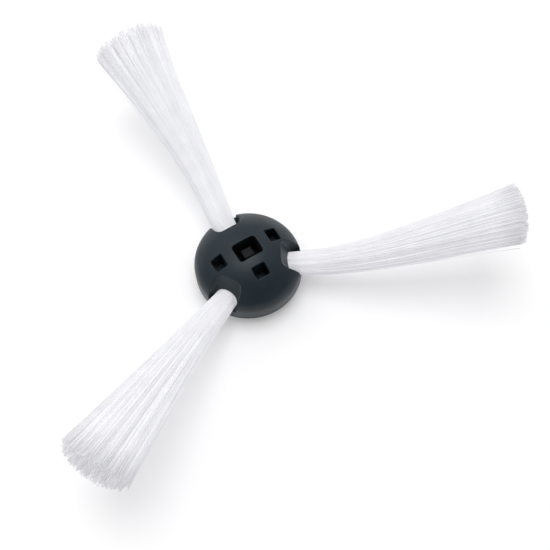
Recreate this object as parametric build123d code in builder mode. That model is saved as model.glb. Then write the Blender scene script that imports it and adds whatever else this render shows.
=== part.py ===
"""Side brush of a robot vacuum cleaner: a domed hub with three slanting bristle tufts."""
import os
from math import cos, pi, radians, sin, sqrt, tan

from build123d import *

os.makedirs("parts", exist_ok=True)

# Hub outside, in millimetres: a lower body, a wider skirt over it and a spherical crown
hub_radius = 15.0
hub_height = 16.9
shoulder_height = 9.15
skirt_bottom = 3.0
skirt_overhang = 1.6
shoulder_round = 5.5
edge_chamfer = 0.4
seam_angle = 30.0

# Hub inside: one open hollow, the crown's thickness and the play above the base plane
body_wall = 1.4
crown_thickness = 2.2
inner_gap = 0.8

# Drive opening on the axis: a recess in the crown, a web with a square boss, the socket below it
drive_length = 7.2
drive_width = 5.5
drive_corner = 0.9
drive_recess = 8.5
web_thickness = 1.4
boss_length = 3.0
boss_width = 2.6
boss_drop = 2.8
post_wall = 1.2

# Windows in the crown, and under each of them a catch ledge for the robot's clips
window_radial = 3.3
window_across = 4.0
side_bridge = 3.05
side_window_shift = 0.9
front_bridge = 2.6
window_corner = 0.35
ledge_depth = 7.7
ledge_thickness = 2.2
ledge_lead = 1.0

# Tufts: evenly spaced, their axes meeting on the hub axis and rising outwards
first_tuft = 90.0
tuft_rise = 21.7
tuft_origin = 2.0
hole_radius = 3.3
hole_wall = 1.1

# Pockets of the tufts: a back wall square to the tuft, rounded corners and a floor along the tuft
pocket_depth = 3.2
pocket_half = 4.2
pocket_corner = 1.6
pocket_sink = 0.6

# Bunches of bristles: packed in the holes, flaring like trumpets, trimmed to rounded ends
tuft_play = 0.1
straight_length = 1.5
flare_flatness = 0.62
trim_radius = 17.0
flute_count = 26
flute_depth = 0.07
flare_steps = 6

# Set that each bunch has taken: half width at the end, flare power, bow, lean and free length
tuft_sets = [
    (10.5, 1.7, -1.2, -1.2, 60.6),
    (9.1, 1.2, -0.3, 0.3, 60.3),
    (8.5, 1.45, -2.0, 2.3, 61.6),
]

# Flat wire anchor driven across the fold of each bunch
wire_thickness = 0.6
wire_width = 1.8
wire_bite = 0.45
fold_depth = 0.6

# Worked out from the sizes above
body_radius = hub_radius - skirt_overhang
hollow_radius = body_radius - body_wall
crown_rise = hub_height - shoulder_height
crown_radius = (hub_radius**2 + crown_rise**2) / (2.0 * crown_rise)
crown_centre = hub_height - crown_radius
inner_crown_radius = crown_radius - crown_thickness
hollow_side_top = crown_centre + sqrt(inner_crown_radius**2 - hollow_radius**2)
hollow_top = crown_centre + inner_crown_radius
recess_floor = hub_height - drive_recess
web_bottom = recess_floor - web_thickness
ledge_top = hub_height - ledge_depth
slope = radians(tuft_rise)
tuft_count = len(tuft_sets)
tuft_angles = [first_tuft + k * 360.0 / tuft_count for k in range(tuft_count)]
tuft_radius = hole_radius - tuft_play
socket_reach = drive_length / 2.0 / cos(radians(tuft_angles[-1]))
hole_end = (socket_reach + hole_wall) / cos(slope) + hole_radius * tan(slope)
pocket_back = hub_radius / cos(slope) - pocket_depth
flare_start = hub_radius + straight_length
anchor_length = 2.0 * (hole_radius + wire_bite)
windows = [
    (0.0, drive_length / 2.0, side_bridge, side_window_shift),
    (180.0, drive_length / 2.0, side_bridge, -side_window_shift),
    (270.0, drive_width / 2.0, front_bridge, 0.0),
]


def on_crown(radius, height_radius):
    """Height of the crown sphere of the given radius at a distance from the hub axis."""
    return crown_centre + sqrt(height_radius**2 - radius**2)


def tuft_plane(angle, distance):
    """Plane square to a tuft axis: x runs across, y upwards, z outwards along the axis."""
    turn = radians(angle)
    along = Vector(cos(turn) * cos(slope), sin(turn) * cos(slope), sin(slope))
    across = Vector(-sin(turn), cos(turn), 0)
    return Plane(origin=Vector(0, 0, tuft_origin) + along * distance, x_dir=across, z_dir=along)


def pocket_form(grow):
    """Pocket of the tuft on the X axis, or with some growth the housing that walls it in."""
    length = 2.0 * hub_radius
    middle = tuft_plane(0.0, pocket_back - grow + length / 2.0)
    floor = middle.origin - middle.y_dir * (pocket_sink + grow)
    with BuildPart() as form:
        with BuildSketch(Plane(origin=floor, x_dir=middle.z_dir, z_dir=middle.y_dir)):
            RectangleRounded(length, 2.0 * (pocket_half + grow), pocket_corner + grow)
        extrude(amount=2.0 * hub_height)
    return form.part


def fluted_ring(half_width, half_height):
    """Corners of an oval with one groove between each two bundles of bristles."""
    ring = []
    for k in range(2 * flute_count):
        turn = pi * k / flute_count
        size = 1.0 if k % 2 == 0 else 1.0 - flute_depth
        ring.append((half_width * size * cos(turn), half_height * size * sin(turn)))
    return ring


def bunch(angle, half_width, power, bow, lean, length):
    """Bristle tuft: a fluted bunch, straight in its hole, flaring and swaying outside."""
    reach = hub_radius + length
    half_height = flare_flatness * half_width
    # Form that the ends are trimmed to: round as seen from above the tuft
    end = tuft_plane(angle, reach - trim_radius)
    with BuildPart() as trim:
        with BuildSketch(Plane(origin=end.origin + end.x_dir * lean, x_dir=end.z_dir, z_dir=end.y_dir)):
            Circle(trim_radius)
            with Locations((-reach / 2.0, 0)):
                Rectangle(reach, 2.0 * trim_radius)
        extrude(amount=trim_radius, both=True)
    with BuildPart() as tuft:
        with BuildSketch(tuft_plane(angle, hole_end)):
            Polygon(*fluted_ring(tuft_radius, tuft_radius), align=None)
        for step in range(flare_steps + 1):
            part_way = step / flare_steps
            grown = part_way**power
            # The bow is largest a third of the way out
            sway = bow * part_way * (1.0 - part_way) ** 2 * 27.0 / 4.0 + lean * part_way**2
            ring = fluted_ring(
                tuft_radius + grown * (half_width - tuft_radius),
                tuft_radius + grown * (half_height - tuft_radius),
            )
            with BuildSketch(tuft_plane(angle, flare_start + part_way * (reach - flare_start))):
                with Locations((sway, 0)):
                    Polygon(*ring, align=None)
        loft(ruled=True)
        add(trim.part, mode=Mode.INTERSECT)
        # The fold lies round the anchor
        with BuildSketch(tuft_plane(angle, hole_end + fold_depth)):
            Rectangle(anchor_length, wire_thickness)
        extrude(amount=wire_width, mode=Mode.SUBTRACT)
    return tuft.part


# Outer form of the hub, turned about its axis
with BuildPart() as outer_form:
    with BuildSketch(Plane.XZ.rotated((0, 0, seam_angle))) as outer_profile:
        with BuildLine():
            Polyline(
                (0, 0),
                (body_radius, 0),
                (body_radius, skirt_bottom),
                (hub_radius, skirt_bottom),
                (hub_radius, shoulder_height),
            )
            half_way = hub_radius / 2.0
            ThreePointArc(
                (hub_radius, shoulder_height),
                (half_way, on_crown(half_way, crown_radius)),
                (0, hub_height),
            )
            Line((0, hub_height), (0, 0))
        make_face()
        fillet(outer_profile.vertices().sort_by_distance((hub_radius, shoulder_height))[0], shoulder_round)
        chamfer(outer_profile.vertices().sort_by_distance((hub_radius, skirt_bottom))[0], edge_chamfer)
        chamfer(outer_profile.vertices().sort_by_distance((body_radius, 0))[0], edge_chamfer)
    revolve(axis=Axis.Z)

# Hollow of the hub, open at the base
with BuildPart() as hollow:
    with BuildSketch(Plane.XZ):
        with BuildLine():
            Polyline((0, -1), (hollow_radius, -1), (hollow_radius, hollow_side_top))
            half_way = hollow_radius / 2.0
            ThreePointArc(
                (hollow_radius, hollow_side_top),
                (half_way, on_crown(half_way, inner_crown_radius)),
                (0, hollow_top),
            )
            Line((0, hollow_top), (0, -1))
        make_face()
    revolve(axis=Axis.Z)

# Inside walls: the drive post, the housings of pockets and tuft holes, and the catch ribs
housing = pocket_form(hole_wall)
with BuildPart() as inner_walls:
    with BuildSketch(Plane.XY.offset(inner_gap)):
        RectangleRounded(drive_length + 2.0 * post_wall, drive_width + 2.0 * post_wall, drive_corner + post_wall)
    extrude(amount=hub_height)
    for angle in tuft_angles:
        with Locations(Rotation(0, 0, angle)):
            add(housing)
        with BuildSketch(tuft_plane(angle, hole_end - hole_wall)):
            Circle(hole_radius + hole_wall)
        extrude(amount=hub_radius)
    for angle, post_half, bridge, shift in windows:
        with Locations(Rotation(0, 0, angle)):
            with Locations((post_half + post_wall / 2.0, shift, ledge_top - ledge_thickness)):
                Box(
                    bridge - post_wall / 2.0,
                    window_across,
                    hub_height,
                    align=(Align.MIN, Align.CENTER, Align.MIN),
                )
    add(outer_form.part, mode=Mode.INTERSECT)
    Box(4.0 * hub_radius, 4.0 * hub_radius, 2.0 * inner_gap, mode=Mode.SUBTRACT)

# Catch ledge, as large as the window above it, with a sloping lead-in under its nose
with BuildPart() as ledge:
    with BuildSketch(Plane.XZ):
        with BuildLine():
            Polyline(
                (-post_wall / 2.0, ledge_top),
                (window_radial, ledge_top),
                (window_radial, ledge_top - ledge_thickness + ledge_lead),
                (window_radial - ledge_lead, ledge_top - ledge_thickness),
                (-post_wall / 2.0, ledge_top - ledge_thickness),
                close=True,
            )
        make_face()
    extrude(amount=window_across / 2.0, both=True)

# Hub: one moulding
pocket = pocket_form(0.0)
with BuildPart() as hub:
    add(outer_form.part)
    add(hollow.part, mode=Mode.SUBTRACT)
    add(inner_walls.part)
    for angle, post_half, bridge, shift in windows:
        with Locations(Rotation(0, 0, angle)):
            with Locations((post_half + bridge, shift, 0)):
                add(ledge.part)
    # Pockets of the tufts
    for angle in tuft_angles:
        with Locations(Rotation(0, 0, angle)):
            add(pocket, mode=Mode.SUBTRACT)
    # Blind holes of the tufts and the cuts that the anchors bite into their sides
    for angle in tuft_angles:
        with BuildSketch(tuft_plane(angle, hole_end)):
            Circle(hole_radius)
        extrude(amount=hub_radius, mode=Mode.SUBTRACT)
        with BuildSketch(tuft_plane(angle, hole_end + fold_depth)):
            Rectangle(anchor_length, wire_thickness)
        extrude(amount=wire_width, mode=Mode.SUBTRACT)
    # Windows in the crown
    for angle, post_half, bridge, shift in windows:
        with BuildSketch(Plane.XY.offset(ledge_top)):
            with Locations(Rotation(0, 0, angle)):
                with Locations((post_half + bridge + window_radial / 2.0, shift)):
                    RectangleRounded(window_radial, window_across, window_corner)
        extrude(amount=hub_height, mode=Mode.SUBTRACT)
    # Drive opening
    with BuildSketch(Plane.XY.offset(recess_floor)):
        RectangleRounded(drive_length, drive_width, drive_corner)
    extrude(amount=hub_height, mode=Mode.SUBTRACT)
    with BuildSketch(Plane.XY):
        RectangleRounded(drive_length, drive_width, drive_corner)
    extrude(amount=web_bottom, mode=Mode.SUBTRACT)
    with BuildSketch(Plane.XY.offset(web_bottom)):
        Rectangle(boss_length, boss_width)
    extrude(amount=hub_height - boss_drop - web_bottom)
hub.part.label = "hub"
export_step(hub.part, "parts/hub.step")

# Bristle tufts, one for each hole
for number, angle in enumerate(tuft_angles):
    tuft = bunch(angle, *tuft_sets[number])
    tuft.label = f"bristle_tuft_{number + 1}"
    export_step(tuft, f"parts/bristle_tuft_{number + 1}.step")

# Tuft anchors: short pieces of flat wire, each driven across the fold of a bunch
for number, angle in enumerate(tuft_angles):
    with BuildPart() as anchor:
        with BuildSketch(tuft_plane(angle, hole_end + fold_depth)):
            Rectangle(anchor_length, wire_thickness)
        extrude(amount=wire_width)
    anchor.part.label = f"tuft_anchor_{number + 1}"
    export_step(anchor.part, f"parts/tuft_anchor_{number + 1}.step")
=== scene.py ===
"""Looks of a robot vacuum side brush: a satin hub, wire anchors and loose nylon bristles."""
import math
import random

import bpy
from mathutils import Matrix, Vector


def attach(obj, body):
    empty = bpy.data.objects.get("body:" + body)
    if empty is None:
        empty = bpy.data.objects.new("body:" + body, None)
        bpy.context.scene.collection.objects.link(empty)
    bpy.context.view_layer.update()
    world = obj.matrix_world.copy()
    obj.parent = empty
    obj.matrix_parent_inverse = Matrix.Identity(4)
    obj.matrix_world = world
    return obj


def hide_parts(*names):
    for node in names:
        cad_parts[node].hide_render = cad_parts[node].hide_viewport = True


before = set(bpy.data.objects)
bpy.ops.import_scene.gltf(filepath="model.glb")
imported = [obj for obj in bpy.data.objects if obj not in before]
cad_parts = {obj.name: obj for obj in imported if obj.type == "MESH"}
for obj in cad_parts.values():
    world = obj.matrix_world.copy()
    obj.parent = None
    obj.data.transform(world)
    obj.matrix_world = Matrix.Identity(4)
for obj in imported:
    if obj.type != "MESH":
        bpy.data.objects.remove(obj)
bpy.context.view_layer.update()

# Hub: one moulding of dark blue-grey plastic, domed on top and hollow underneath.
# The mould leaves a fine satin grain on it, and handling leaves faint rubbed patches that are
# smoother; the same patches are painted lighter, as a painted sheen.


class Value:
    """One output of a shader node. Arithmetic on it adds Math nodes to its material."""

    def __init__(self, tree, socket=None):
        self.tree = tree
        self.socket = socket

    def add(self, kind, settings, sockets, output=0):
        """Adds a node: its settings first, then the values or links of its sockets."""
        node = self.tree.nodes.new(kind)
        for name, setting in settings.items():
            setattr(node, name, setting)
        for name, given in sockets.items():
            if isinstance(given, Value):
                self.tree.links.new(given.socket, node.inputs[name])
            else:
                node.inputs[name].default_value = given
        return Value(self.tree, node.outputs[output] if node.outputs else None)

    def maths(self, operation, first, second):
        return self.add("ShaderNodeMath", {"operation": operation}, {0: first, 1: second})

    def __add__(self, other):
        return self.maths("ADD", self, other)

    def __rsub__(self, other):
        return self.maths("SUBTRACT", other, self)

    def __mul__(self, other):
        return self.maths("MULTIPLY", self, other)

    __radd__ = __add__
    __rmul__ = __mul__

    def mixed(self, dark, light):
        """A colour between two others, by this value."""
        return self.add(
            "ShaderNodeMix",
            {"data_type": "RGBA"},
            {"Factor": self, 6: (*dark, 1.0), 7: (*light, 1.0)},
            output=2,
        )

    def noise(self, place, size, detail):
        """Cloudy noise with features of the given size in metres."""
        return self.add(
            "ShaderNodeTexNoise",
            {},
            {"Vector": place, "Scale": 1.0 / size, "Detail": detail},
        )


def new_finish(name):
    """An empty material, as the value that its nodes are added to."""
    material = bpy.data.materials.new(name)
    material.use_nodes = True
    material.node_tree.nodes.clear()
    return material, Value(material.node_tree)


def close_finish(start, surface):
    """Links the finished surface to the material's output."""
    start.add("ShaderNodeOutputMaterial", {}, {"Surface": surface})


hub_shadow_tone = (0.006, 0.015, 0.022)
hub_light_tone = (0.012, 0.024, 0.033)
socket_painted_shade = (0.003, 0.003, 0.004)
hub_grain = 0.00028
hub_patch = 0.006
hub_edge_round = 0.00035
rub_and_sheen_starts = 0.35
rub_and_sheen_full = 0.7
painted_sheen_share = 0.75
dimple_strength = 0.25
dimple_depth = 0.00004
hub_roughness = 0.38
rub_smoother = 0.07
grain_rougher = 0.06
opening_rougher = 0.4
plastic_index = 1.49
plastic_shine = 0.32
opening_half_length = 0.0037
opening_half_width = 0.0028
boss_half = 0.0010
boss_shade_share = 0.92
rim_height = 0.0164
dark_height = 0.0140

hub_finish, start = new_finish("hub_satin_plastic")
place = start.add("ShaderNodeTexCoord", {}, {}, output=3)
grain = start.noise(place, hub_grain, 2.0)
patches = start.noise(place, hub_patch, 4.0)
rub_and_sheen_patches = start.add(
    "ShaderNodeMapRange",
    {},
    {
        "Value": patches,
        "From Min": rub_and_sheen_starts,
        "From Max": rub_and_sheen_full,
        "To Min": 0.0,
        "To Max": 1.0,
    },
)
soft_edges = start.add("ShaderNodeBevel", {"samples": 6}, {"Radius": hub_edge_round})
dimples = start.add(
    "ShaderNodeBump",
    {},
    {
        "Strength": dimple_strength,
        "Distance": dimple_depth,
        "Height": grain,
        "Normal": soft_edges,
    },
)
# Inside the drive opening the colour goes to near-black below the rim, as painted shade in the
# recess, a little less so on the boss in its middle
axes = [
    start.add("ShaderNodeSeparateXYZ", {}, {"Vector": place}, output=axis) for axis in range(3)
]
aside = [
    start.add("ShaderNodeMath", {"operation": "ABSOLUTE"}, {0: axis}) for axis in axes[:2]
]
in_length = start.maths("LESS_THAN", aside[0], opening_half_length)
in_width = start.maths("LESS_THAN", aside[1], opening_half_width)
off_axis = start.maths("MAXIMUM", aside[0], aside[1])
off_boss = start.maths("GREATER_THAN", off_axis, boss_half)
sunk = start.add(
    "ShaderNodeMapRange",
    {},
    {
        "Value": axes[2],
        "From Min": rim_height,
        "From Max": dark_height,
        "To Min": 0.0,
        "To Max": 1.0,
    },
)
painted_opening_shade = in_length * in_width * sunk * (boss_shade_share + (1.0 - boss_shade_share) * off_boss)
# The lighter colour on the patches is a painted sheen; the grain varies the tone a little as
# well
sheen_and_grain = painted_sheen_share * rub_and_sheen_patches + (1.0 - painted_sheen_share) * grain
skin = sheen_and_grain.mixed(hub_shadow_tone, hub_light_tone)
plastic = start.add(
    "ShaderNodeBsdfPrincipled",
    {},
    {
        "Base Color": start.add(
            "ShaderNodeMix",
            {"data_type": "RGBA"},
            {"Factor": painted_opening_shade, 6: skin, 7: (*socket_painted_shade, 1.0)},
            output=2,
        ),
        "Roughness": (
            hub_roughness
            - rub_smoother * rub_and_sheen_patches
            + grain_rougher * grain
            + opening_rougher * painted_opening_shade
        ),
        "IOR": plastic_index,
        "Specular IOR Level": plastic_shine,
        "Normal": dimples,
    },
)
close_finish(start, plastic)
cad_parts["hub"].data.materials.clear()
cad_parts["hub"].data.materials.append(hub_finish)

# Tuft anchors: short pieces of flat steel wire, cut off a coil and driven across the holes.
# They sit out of sight at the bottom of the holes, drawn bright with fine lines along the wire.
wire_dull = (0.42, 0.43, 0.44)
wire_bright = (0.62, 0.63, 0.64)
draw_line = 0.00012
draw_stretch = (0.05, 1.0, 1.0)
wire_roughness = 0.28
line_rougher = 0.2

wire_finish, start = new_finish("anchor_drawn_steel")
place = start.add("ShaderNodeTexCoord", {}, {}, output=3)
along_wire = start.add("ShaderNodeMapping", {}, {"Vector": place, "Scale": draw_stretch})
lines = start.noise(along_wire, draw_line, 3.0)
steel = start.add(
    "ShaderNodeBsdfPrincipled",
    {},
    {
        "Base Color": lines.mixed(wire_dull, wire_bright),
        "Metallic": 1.0,
        "Roughness": wire_roughness + line_rougher * lines,
    },
)
close_finish(start, steel)
for number in (1, 2, 3):
    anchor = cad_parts[f"tuft_anchor_{number}"]
    anchor.data.materials.clear()
    anchor.data.materials.append(wire_finish)

# Bristle tufts: bunches of straight white nylon filament, folded over the anchors and pressed
# into slanting holes. Outside the hub each bunch flares, its ends trimmed to a shallow dome.
filament_count = 1000
filament_radius = 0.0001
filament_sides = 5
filament_cuts = (0.087, 0.138, 0.25, 0.375, 0.5, 0.625, 0.75, 0.875)
hole_radius = 0.0033
hole_end = 0.0070
wire_end = 0.0094
wire_part = 0.0006
mouth = 0.0130
mouth_spread = 0.0003
flare_start = 0.0165
tuft_rise = math.radians(21.7)
tuft_height = 0.002
flatness = 0.62
golden_angle = 2.39996
lock_count = 90
lock_wander = 0.3
cling_least = 0.1
cling_most = 0.6
tip_scatter = 0.025
power_scatter = 0.1
wave_size = 0.00016
short_most = 0.0011
long_most = 0.0004
lock_tone_share = 0.6
bow_scale = 27.0 / 4.0
stray_share = 0.06
stray_most = 1.16

# One filament, a thin rod of unit length, cut across so that it can bend: at the mouth of the
# hole, where the flare starts, and evenly beyond
bpy.ops.object.select_all(action="DESELECT")
bpy.ops.mesh.primitive_cylinder_add(
    vertices=filament_sides, radius=filament_radius, depth=1.0, location=(0, 0, 0.5)
)
filament = bpy.context.object
bpy.ops.object.transform_apply(location=True)
bpy.ops.object.mode_set(mode="EDIT")
for cut in filament_cuts:
    bpy.ops.mesh.select_all(action="SELECT")
    bpy.ops.mesh.bisect(plane_co=(0, 0, cut), plane_no=(0, 0, 1))
bpy.ops.object.mode_set(mode="OBJECT")
filament_points = [corner.co.copy() for corner in filament.data.vertices]
filament_faces = [list(face.vertices) for face in filament.data.polygons]
bpy.data.objects.remove(filament, do_unlink=True)

filament_grey = (0.77, 0.77, 0.795)
filament_white = (0.966, 0.966, 0.9745)
let_through = 0.35
painted_glow = 0.165
mottle_size = 0.004
mottle_share = 0.35
nylon_roughness = 0.30
mottle_rougher = 0.15
nylon_index = 1.53

nylon_finish, start = new_finish("bristle_white_nylon")
strand = start.add("ShaderNodeUVMap", {"uv_map": "strand"}, {})
which = start.add("ShaderNodeSeparateXYZ", {}, {"Vector": strand}, output=0)
place = start.add("ShaderNodeTexCoord", {}, {}, output=3)
mottle = start.noise(place, mottle_size, 2.0)
paleness = (1.0 - mottle_share) * which + mottle_share * mottle
nylon_colour = paleness.mixed(filament_grey, filament_white)
# The nylon glows faintly in its own colour: a painted glow that lifts the shade between the
# filaments inside the bunch
nylon = start.add(
    "ShaderNodeBsdfPrincipled",
    {},
    {
        "Base Color": nylon_colour,
        "Roughness": nylon_roughness + mottle_rougher * mottle,
        "IOR": nylon_index,
        "Emission Color": nylon_colour,
        "Emission Strength": painted_glow / (1.0 - let_through),
    },
)
glow_through = start.add("ShaderNodeBsdfTranslucent", {}, {"Color": nylon_colour})
soft_nylon = start.add("ShaderNodeMixShader", {}, {0: let_through, 1: nylon, 2: glow_through})
close_finish(start, soft_nylon)


def bunch(name, turn, reach, trim_radius, half_width, power, bow, lean, shift, seed):
    """One tuft: filaments laid from the fold out to the trimmed end."""
    chance = random.Random(seed)
    along = Vector(
        (
            math.cos(turn) * math.cos(tuft_rise),
            math.sin(turn) * math.cos(tuft_rise),
            math.sin(tuft_rise),
        )
    )
    across = Vector((-math.sin(turn), math.cos(turn), 0.0))
    upward = along.cross(across)
    half_height = flatness * half_width
    root_radius = hole_radius - 2.0 * filament_radius
    locks = []
    for k in range(lock_count):
        out = math.sqrt((k + 0.5) / lock_count)
        angle = golden_angle * k + chance.uniform(-lock_wander, lock_wander)
        locks.append((out * math.cos(angle), out * math.sin(angle), chance.random()))
    points, faces, tones = [], [], []
    for k in range(filament_count):
        out = math.sqrt((k + 0.5) / filament_count)
        angle = golden_angle * k
        x, y = out * math.cos(angle), out * math.sin(angle)
        # Neighbours cling together towards their ends, and a few filaments stray
        lock = min(locks, key=lambda middle: (middle[0] - x) ** 2 + (middle[1] - y) ** 2)
        cling = chance.uniform(cling_least, cling_most)
        tip_x = x + cling * (lock[0] - x) + chance.gauss(0.0, tip_scatter)
        tip_y = y + cling * (lock[1] - y) + chance.gauss(0.0, tip_scatter)
        if chance.random() < stray_share:
            tip_x *= chance.uniform(1.0, stray_most)
            tip_y *= chance.uniform(1.0, stray_most)
        wave_x = chance.gauss(0.0, wave_size)
        wave_y = chance.gauss(0.0, wave_size)
        dome = (tip_x**2 * half_width**2 + tip_y**2 * half_height**2) / (2.0 * trim_radius)
        end = reach - dome + chance.uniform(-short_most, long_most)
        own_power = power + chance.uniform(-power_scatter, power_scatter)
        base = len(points)
        for corner in filament_points:
            distance = hole_end + corner.z * (end - hole_end)
            flare = max(0.0, (distance - flare_start) / (reach - flare_start))
            grown = flare**own_power
            # Past the mouth the filaments ease apart a little before they flare
            eased = min(1.0, max(0.0, (distance - mouth) / (flare_start - mouth)))
            packed = root_radius + mouth_spread * eased
            offset_x = x * packed + grown * (tip_x * half_width - x * packed)
            offset_y = y * packed + grown * (tip_y * half_height - y * packed)
            # The whole bunch lies to one side of its pocket, bows most a third of the way out
            # and leans at its end
            free = min(1.0, flare)
            offset_x += shift * eased * (1.0 - free) ** 2
            offset_x += bow * bow_scale * free * (1.0 - free) ** 2 + lean * free**2
            offset_x += wave_x * math.sin(math.pi * free)
            offset_y += wave_y * math.sin(math.pi * free)
            # Parted by the anchor wire at the fold
            squeeze = min(1.0, max(0.0, (mouth - distance) / (mouth - wire_end)))
            offset_y += squeeze * wire_part * (1.0 - abs(y)) * (1.0 if y > 0.0 else -1.0)
            point = along * distance + across * (offset_x + corner.x)
            point += upward * (offset_y + corner.y)
            point.z += tuft_height
            points.append(point)
        for face in filament_faces:
            faces.append([base + corner for corner in face])
        tones.append(lock_tone_share * lock[2] + (1.0 - lock_tone_share) * chance.random())
    mesh = bpy.data.meshes.new(name)
    mesh.from_pydata(points, [], faces)
    strand_map = mesh.uv_layers.new(name="strand")
    per_filament = len(filament_points)
    for loop in mesh.loops:
        tone = tones[loop.vertex_index // per_filament]
        part_way = filament_points[loop.vertex_index % per_filament].z
        strand_map.data[loop.index].uv = (tone, part_way)
    for face in mesh.polygons:
        face.use_smooth = len(face.vertices) == 4
    mesh.materials.append(nylon_finish)
    tuft = bpy.data.objects.new(name, mesh)
    bpy.context.collection.objects.link(tuft)
    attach(tuft, "root")
    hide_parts(name.replace("filaments", "bristle_tuft"))


bunch(
    "filaments_1",
    turn=math.radians(90.0),
    reach=0.0755,
    trim_radius=0.026,
    half_width=0.0110,
    power=1.70,
    bow=-0.0012,
    lean=-0.0012,
    shift=0.0,
    seed=11,
)
bunch(
    "filaments_2",
    turn=math.radians(210.0),
    reach=0.0752,
    trim_radius=0.023,
    half_width=0.0095,
    power=1.20,
    bow=-0.0003,
    lean=0.0003,
    shift=0.0,
    seed=12,
)
bunch(
    "filaments_3",
    turn=math.radians(330.0),
    reach=0.0766,
    trim_radius=0.017,
    half_width=0.0085,
    power=1.45,
    bow=-0.0014,
    lean=0.0023,
    shift=-0.0007,
    seed=13,
)

# Table: a plain white sheet that the brush stands on, seen as white with a soft shadow.
# It is wide enough to reach past the picture from every side.
table_size = 4.0
table_white = (0.86, 0.86, 0.87)
table_glow = 0.20
under_hub = 0.0135

bpy.ops.object.select_all(action="DESELECT")
bpy.ops.mesh.primitive_plane_add(size=table_size, location=(0, 0, 0))
table = bpy.context.object
table.name = "table"
table_finish, start = new_finish("table_white")
ray_kinds = ("Is Camera Ray", "Is Glossy Ray", "Is Transmission Ray")
rays = [start.add("ShaderNodeLightPath", {}, {}, output=kind) for kind in ray_kinds]
seen = start.maths("MAXIMUM", start.maths("MAXIMUM", rays[0], rays[1]), rays[2])
place = start.add("ShaderNodeTexCoord", {}, {}, output=3)
from_axis = start.add("ShaderNodeVectorMath", {"operation": "LENGTH"}, {0: place}, output=1)
open_sheet = start.maths("GREATER_THAN", from_axis, under_hub)
level = table_glow * seen * open_sheet
glow = start.add("ShaderNodeEmission", {}, {"Color": (1.0, 1.0, 1.0, 1.0), "Strength": level})
sheet = start.add("ShaderNodeBsdfDiffuse", {}, {"Color": (*table_white, 1.0)})
close_finish(start, start.add("ShaderNodeAddShader", {}, {0: sheet, 1: glow}))
table.data.materials.append(table_finish)

# Studio light: a large soft lamp at the upper left, a smaller fill lamp overhead, and a pale
# room that is brightest above the far side.
key_place = Vector((-0.25, 0.30, 0.52))
key_size = 0.80
key_power = 0.9
fill_place = Vector((0.04, 0.08, 0.70))
fill_size = 0.40
fill_power = 1.6
room_low = 0.36
room_high = 0.90
room_bright_side = (0.42, 0.70, 0.57)


def soft_lamp(name, place, size, power):
    """A square lamp that faces the hub."""
    lamp = bpy.data.lights.new(name, "AREA")
    lamp.size = size
    lamp.energy = power
    holder = bpy.data.objects.new(name, lamp)
    holder.location = place
    holder.rotation_euler = (-place).to_track_quat("-Z", "Y").to_euler()
    bpy.context.collection.objects.link(holder)


soft_lamp("key_lamp", key_place, key_size, key_power)
soft_lamp("fill_lamp", fill_place, fill_size, fill_power)

room = bpy.data.worlds.new("room")
bpy.context.scene.world = room
room.use_nodes = True
room.node_tree.nodes.clear()
start = Value(room.node_tree)
way = start.add("ShaderNodeTexCoord", {}, {}, output=0)
nearness = start.add(
    "ShaderNodeVectorMath",
    {"operation": "DOT_PRODUCT"},
    {0: way, 1: room_bright_side},
    output=1,
)
level = room_low + (room_high - room_low) * start.maths("MAXIMUM", nearness, 0.0)
background = start.add(
    "ShaderNodeBackground", {}, {"Color": (1.0, 1.0, 1.0, 1.0), "Strength": level}
)
start.add("ShaderNodeOutputWorld", {}, {"Surface": background})

# Camera: above the brush and a little to the left, with the hub near the middle of the picture.
# It is aimed a little above the base and set off to one side.
view_turn = math.radians(238.94)
view_rise = math.radians(65.82)
view_distance = 0.22583
view_right = 0.00739
view_up = -0.00156
aim_height = 0.003
film_width = 36.0
lens_length = 52.31
nearest_seen = 0.01

toward = Vector(
    (
        math.cos(view_turn) * math.cos(view_rise),
        math.sin(view_turn) * math.cos(view_rise),
        math.sin(view_rise),
    )
)
right = Vector((-math.sin(view_turn), math.cos(view_turn), 0.0))
over = toward.cross(right)
aim = Vector((0.0, 0.0, aim_height))
place = toward * view_distance + right * view_right + over * view_up + aim
turned = Matrix((right, over, toward)).transposed().to_4x4()
camera_data = bpy.data.cameras.new("camera")
camera_data.sensor_width = film_width
camera_data.lens = lens_length
camera_data.clip_start = nearest_seen
camera = bpy.data.objects.new("camera", camera_data)
camera.matrix_world = Matrix.Translation(place) @ turned
bpy.context.collection.objects.link(camera)
scene = bpy.context.scene
scene.camera = camera
scene.view_settings.view_transform = "Standard"
